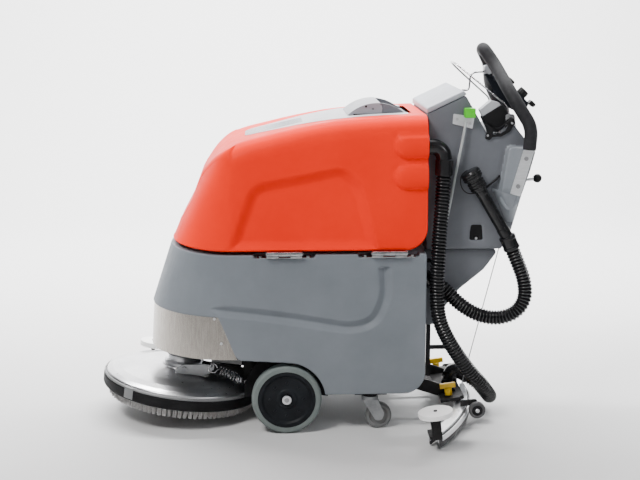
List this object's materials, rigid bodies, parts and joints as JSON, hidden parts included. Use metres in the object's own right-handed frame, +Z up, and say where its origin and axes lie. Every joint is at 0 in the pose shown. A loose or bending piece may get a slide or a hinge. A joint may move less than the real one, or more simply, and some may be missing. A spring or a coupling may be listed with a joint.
{
  "type": "walk-behind scrubber dryer",
  "caption": "Walk-behind floor scrubber with a tilting round brush deck, side-tilting recovery tank, drive and caster wheels, curved squeegee, hoses and an arched handle.",
  "frame": {"origin": "on the floor under the middle of the machine's bounding box", "axes": "+Z up, +X towards the operator's handle, -Y the operator's left"},
  "size_m": [1.2834, 0.935, 1.0928],
  "materials": {
    "grey_tank": "fine moulded texture",
    "brushed_steel": "vertically brushed",
    "orange_shell": "satin gloss moulding",
    "light_grey": "satin",
    "zinc": "zinc plated",
    "battery_case": "moulded case",
    "dark_grey": "fine moulded texture",
    "cap_grey": "satin",
    "motor_metal": "cast and painted",
    "alu": "satin",
    "foam": "foam sleeve",
    "black_plastic": "satin",
    "green": "gloss",
    "clear_tube": "translucent",
    "hose_black": "corrugated, satin gloss",
    "wire": "stranded wire",
    "tyre": "worn grey-green rubber",
    "wheel_disc": "satin",
    "caster_grey": "non-marking",
    "polished_steel": "polished",
    "bumper": "semi-gloss",
    "bristle": "nylon tufts",
    "black_metal": "powder coat",
    "spring": "bright",
    "white_roller": "nylon",
    "blade": "cut sheet",
    "yellow": "gloss",
    "black_roller": "moulded"
  },
  "bodies": {
    "chassis": {"solution_tank": "grey_tank", "front_cover": "brushed_steel", "tank_hinges": "zinc", "body_screws": "zinc", "battery_pack": "battery_case", "rear_column": "dark_grey", "column_cap": "cap_grey", "rear_housing": "dark_grey", "vacuum_motor": "motor_metal", "handle_frame": "alu", "handle_grip": "foam", "control_housing": "black_plastic", "wire_fittings": "zinc", "battery_connector": "black_plastic", "level_tube": "clear_tube", "hose_fittings": "black_plastic", "suction_elbow": "black_plastic", "suction_hose": "hose_black", "drain_wand": "black_plastic", "drain_hose": "hose_black", "lift_wire": "wire", "drive_axle": "zinc", "chassis_brackets": "zinc"},
    "hood": {"recovery_hood": "orange_shell", "hood_top_panel": "light_grey", "lid_cradle": "light_grey", "hood_hinges": "zinc"},
    "lid": {"tank_lid": "light_grey"},
    "speed_knob_body": {"speed_knob": "black_plastic"},
    "water_knob_body": {"water_knob": "black_plastic"},
    "paddle": {"paddle_switch": "black_plastic"},
    "bail": {"wire_bail": "zinc"},
    "tap": {"green_tap": "green"},
    "lever": {"lift_lever": "zinc"},
    "wheel_left": {"tyre_left": "tyre", "rim_left": "wheel_disc"},
    "wheel_right": {"tyre_right": "tyre", "rim_right": "wheel_disc"},
    "fork_left": {"caster_fork_left": "zinc"},
    "fork_right": {"caster_fork_right": "zinc"},
    "caster_left": {"caster_wheel_left": "caster_grey"},
    "caster_right": {"caster_wheel_right": "caster_grey"},
    "deck": {"deck_dome": "polished_steel", "deck_bumper": "bumper", "brush_motor": "motor_metal", "deck_arm": "black_metal"},
    "brush": {"scrub_brush": "bristle"},
    "spring": {"deck_spring": "spring"},
    "guide": {"guide_roller": "white_roller"},
    "squeegee": {"suction_hose_low": "hose_black", "squeegee_body": "alu", "squeegee_blades": "blade", "squeegee_nozzle": "black_plastic", "squeegee_bracket": "black_metal"},
    "wing_left": {"wing_knob_left": "yellow"},
    "wing_right": {"wing_knob_right": "yellow"},
    "wall_left": {"wall_roller_left": "white_roller"},
    "wall_right": {"wall_roller_right": "white_roller"},
    "support_left": {"support_roller_left": "black_roller"},
    "support_right": {"support_roller_right": "black_roller"}
  },
  "joints": [
    {"name": "hood_tilt", "type": "hinge", "parent": "chassis", "child": "hood", "pos_m": [0.04, -0.259, 0.525], "axis": [1, 0, 0], "range_deg": [0, 75]},
    {"name": "lid_open", "type": "hinge", "parent": "hood", "child": "lid", "pos_m": [0.152, 0, 0.911], "axis": [0, 1, 0], "range_deg": [0, 110]},
    {"name": "deck_lift", "type": "hinge", "parent": "chassis", "child": "deck", "pos_m": [-0.1, 0, 0.1], "axis": [0, 1, 0], "range_deg": [-7.5, 0]},
    {"name": "spring_swing", "type": "hinge", "parent": "chassis", "child": "spring", "pos_m": [-0.213, -0.125, 0.117], "axis": [0, 1, 0], "range_deg": [-16, 1]},
    {"name": "brush_spin", "type": "hinge", "parent": "deck", "child": "brush", "pos_m": [-0.40858, 0, 0.08515], "axis": [0.1305, 0, 0.9914], "continuous": true},
    {"name": "guide_roll", "type": "hinge", "parent": "deck", "child": "guide", "pos_m": [-0.51043, 0.222, 0.13891], "axis": [0.1305, 0, 0.9914], "continuous": true},
    {"name": "squeegee_lift", "type": "hinge", "parent": "chassis", "child": "squeegee", "pos_m": [0.27, 0, 0.105], "axis": [0, 1, 0], "range_deg": [0, 7.5]},
    {"name": "lever_swing", "type": "hinge", "parent": "chassis", "child": "lever", "pos_m": [0.47, -0.1, 0.69], "axis": [0, 1, 0], "range_deg": [0, 30]},
    {"name": "bail_pull", "type": "hinge", "parent": "chassis", "child": "bail", "pos_m": [0.532, 0, 0.893], "axis": [0, 1, 0], "range_deg": [0, 9], "stiffness_Nm_per_rad": 0.5, "springref_deg": -5.73},
    {"name": "speed_turn", "type": "hinge", "parent": "chassis", "child": "speed_knob_body", "pos_m": [0.55297, -0.052, 0.98417], "axis": [0.7071, 0, 0.7071], "range_deg": [-135, 135]},
    {"name": "water_turn", "type": "hinge", "parent": "chassis", "child": "water_knob_body", "pos_m": [0.58691, -0.052, 0.95023], "axis": [0.7071, 0, 0.7071], "range_deg": [-135, 135]},
    {"name": "paddle_tilt", "type": "hinge", "parent": "chassis", "child": "paddle", "pos_m": [0.6152, -0.052, 0.91912], "axis": [0, 1, 0], "range_deg": [-10, 10], "stiffness_Nm_per_rad": 0.3},
    {"name": "tap_turn", "type": "hinge", "parent": "chassis", "child": "tap", "pos_m": [0.4145, -0.198, 0.9065], "axis": [0, 1, 0], "range_deg": [0, 90]},
    {"name": "wheel_left_spin", "type": "hinge", "parent": "chassis", "child": "wheel_left", "pos_m": [-0.1, -0.225, 0.1], "axis": [0, 1, 0], "continuous": true},
    {"name": "caster_left_swivel", "type": "hinge", "parent": "chassis", "child": "fork_left", "pos_m": [0.14, -0.197, 0.1], "axis": [0, 0, 1], "continuous": true},
    {"name": "caster_left_roll", "type": "hinge", "parent": "fork_left", "child": "caster_left", "pos_m": [0.165, -0.197, 0.0375], "axis": [0, 1, 0], "continuous": true},
    {"name": "wing_left_turn", "type": "hinge", "parent": "squeegee", "child": "wing_left", "pos_m": [0.37768, -0.13, 0.08387], "axis": [-0.1305, 0, 0.9914], "continuous": true},
    {"name": "wall_left_roll", "type": "hinge", "parent": "squeegee", "child": "wall_left", "pos_m": [0.30008, -0.42, 0.114], "axis": [-0.1305, 0, 0.9914], "continuous": true},
    {"name": "support_left_roll", "type": "hinge", "parent": "squeegee", "child": "support_left", "pos_m": [0.45209, -0.2, 0.04727], "axis": [0, 1, 0], "continuous": true},
    {"name": "wheel_right_spin", "type": "hinge", "parent": "chassis", "child": "wheel_right", "pos_m": [-0.1, 0.225, 0.1], "axis": [0, 1, 0], "continuous": true},
    {"name": "caster_right_swivel", "type": "hinge", "parent": "chassis", "child": "fork_right", "pos_m": [0.14, 0.197, 0.1], "axis": [0, 0, 1], "continuous": true},
    {"name": "caster_right_roll", "type": "hinge", "parent": "fork_right", "child": "caster_right", "pos_m": [0.165, 0.197, 0.0375], "axis": [0, 1, 0], "continuous": true},
    {"name": "wing_right_turn", "type": "hinge", "parent": "squeegee", "child": "wing_right", "pos_m": [0.37768, 0.13, 0.08387], "axis": [-0.1305, 0, 0.9914], "continuous": true},
    {"name": "wall_right_roll", "type": "hinge", "parent": "squeegee", "child": "wall_right", "pos_m": [0.30008, 0.42, 0.114], "axis": [-0.1305, 0, 0.9914], "continuous": true},
    {"name": "support_right_roll", "type": "hinge", "parent": "squeegee", "child": "support_right", "pos_m": [0.45209, 0.2, 0.04727], "axis": [0, 1, 0], "continuous": true}
  ],
  "couplings": [
    {"joint": "spring_swing", "follows": "deck_lift", "ratio": 2.055},
    {"joint": "lever_swing", "follows": "squeegee_lift", "ratio": 4}
  ]
}
